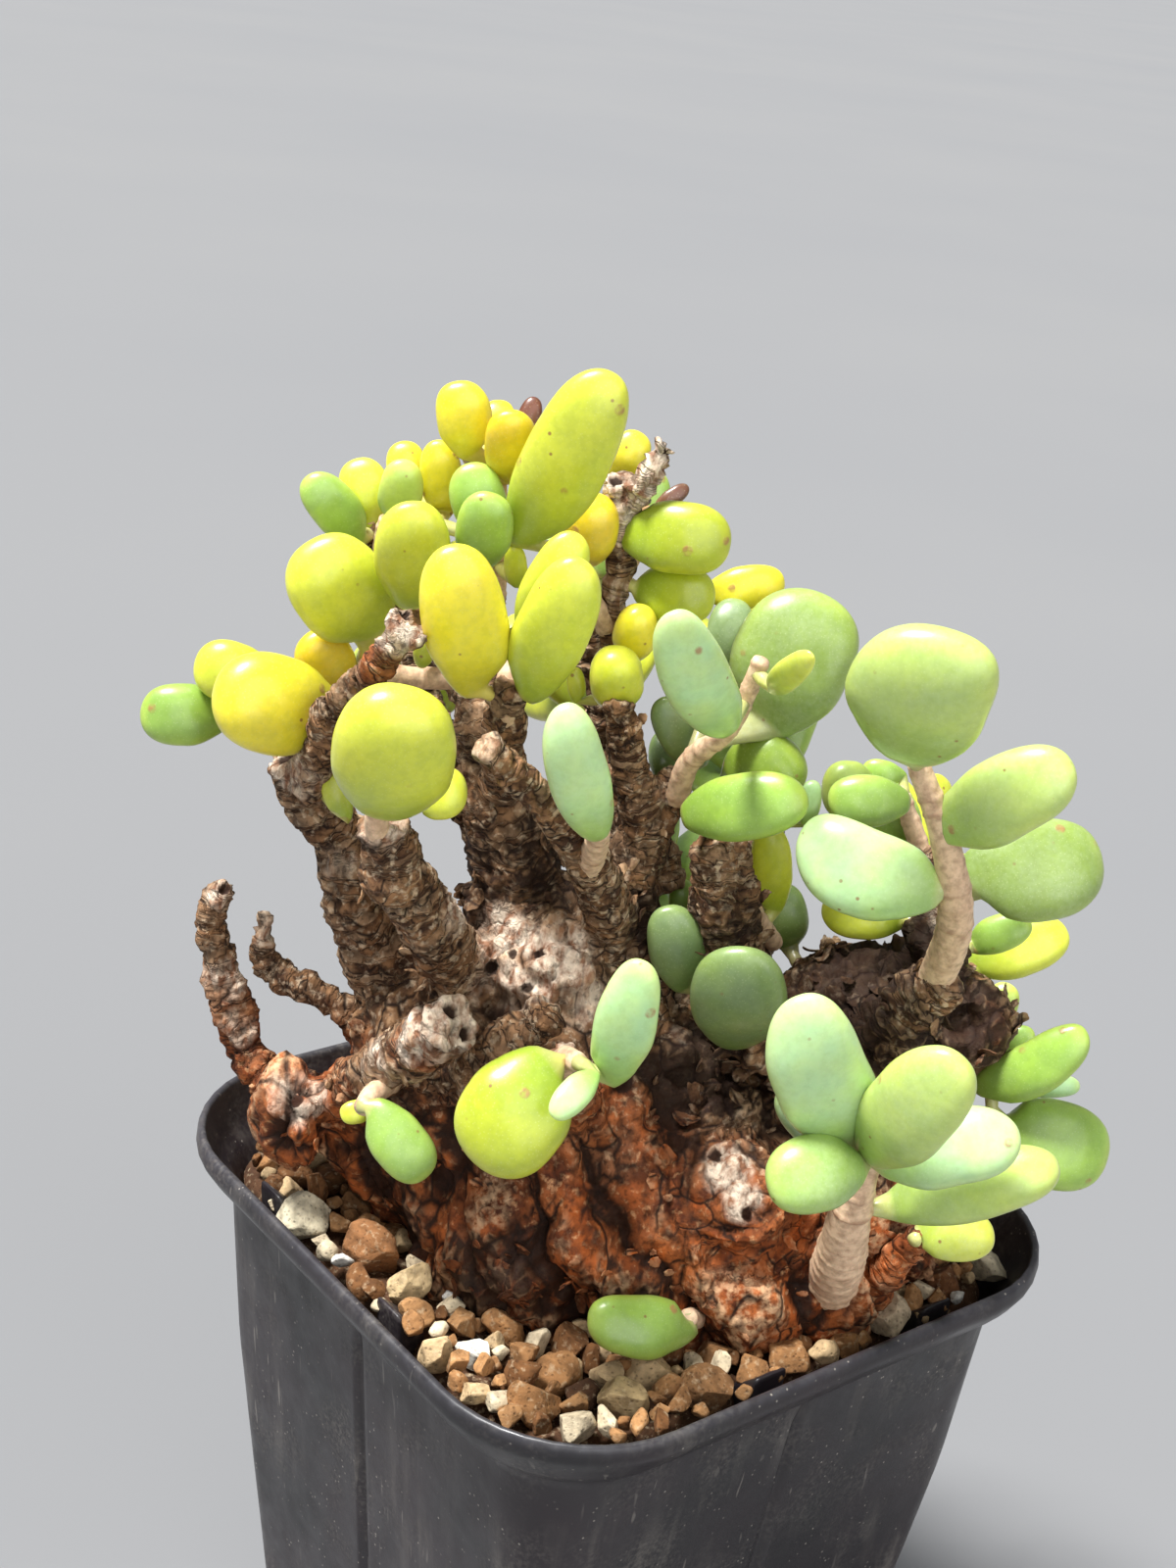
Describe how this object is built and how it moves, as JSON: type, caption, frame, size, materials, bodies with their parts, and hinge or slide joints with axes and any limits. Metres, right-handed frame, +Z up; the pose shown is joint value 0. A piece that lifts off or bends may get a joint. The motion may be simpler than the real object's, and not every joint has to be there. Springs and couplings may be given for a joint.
{
  "type": "potted ceraria pygmaea",
  "caption": "Small caudex succulent with a knobbly woody base, short limbs and plump oval leaves, planted in coarse grit in a square plastic nursery pot.",
  "frame": {"origin": "the middle of the flat base of the pot, on the surface that it stands on", "axes": "+Z up; X and Y square to the pot's sides; the pictured side faces -X -Y, at azimuth -40 degrees"},
  "size_m": [0.0828, 0.0948, 0.1682],
  "materials": {
    "pot_plastic": "matte black-grey plastic with dust and fine scratches",
    "soil_grit": "dry baked-clay and pumice grit",
    "bark": "flaky cracked bark, grey-brown to reddish",
    "stone_tan": "dry pumice",
    "stone_brown": "dry baked clay grain",
    "stone_white": "dry white pumice",
    "leaf_pale": "waxy bloom over blue-green",
    "leaf_green": "waxy mid green",
    "leaf_lime": "waxy lime green",
    "leaf_yellow": "waxy yellow, lime at the foot"
  },
  "bodies": {
    "root": {"pot": "pot_plastic", "soil": "soil_grit", "caudex": "bark", "stone_tan_left": "stone_tan", "stone_tan_middle": "stone_tan", "stone_cream_right": "stone_tan", "stone_brown_left": "stone_brown", "stone_brown_near": "stone_brown", "stone_tan_corner": "stone_brown", "stone_brown_right": "stone_brown", "stone_cream_left": "stone_white", "stone_white_near": "stone_white", "stone_cream_far": "stone_white", "shoot_right_top": "leaf_pale", "shoot_far_right": "leaf_pale", "rosette_front": "leaf_pale", "leaf_front_stub": "leaf_pale", "shoot_crown_far_left": "leaf_green", "shoot_right_inner": "leaf_green", "shoot_far_right_inner": "leaf_green", "shoot_low_centre": "leaf_green", "leaves_left_branch": "leaf_green", "leaf_near_soil": "leaf_green", "back_shoot_crown_right": "leaf_green", "back_shoot_right_low": "leaf_green", "back_shoot_low": "leaf_green", "shoot_crown_left": "leaf_lime", "shoot_crown_top": "leaf_lime", "shoot_crown_right": "leaf_lime", "shoot_centre_front": "leaf_lime", "shoot_low_right": "leaf_lime", "shoot_left_stub": "leaf_lime", "shoot_left_upper": "leaf_lime", "leaves_pale_head": "leaf_lime", "back_shoot_crown_left": "leaf_lime", "back_shoot_centre": "leaf_lime", "back_shoot_right_top": "leaf_lime", "back_shoot_left": "leaf_lime", "back_shoot_far_right": "leaf_lime", "shoot_crown_yellow": "leaf_yellow", "shoot_centre": "leaf_yellow", "shoot_right_middle": "leaf_yellow", "shoot_right_stub": "leaf_yellow", "shoot_far_left": "leaf_yellow"}
  },
  "joints": []
}
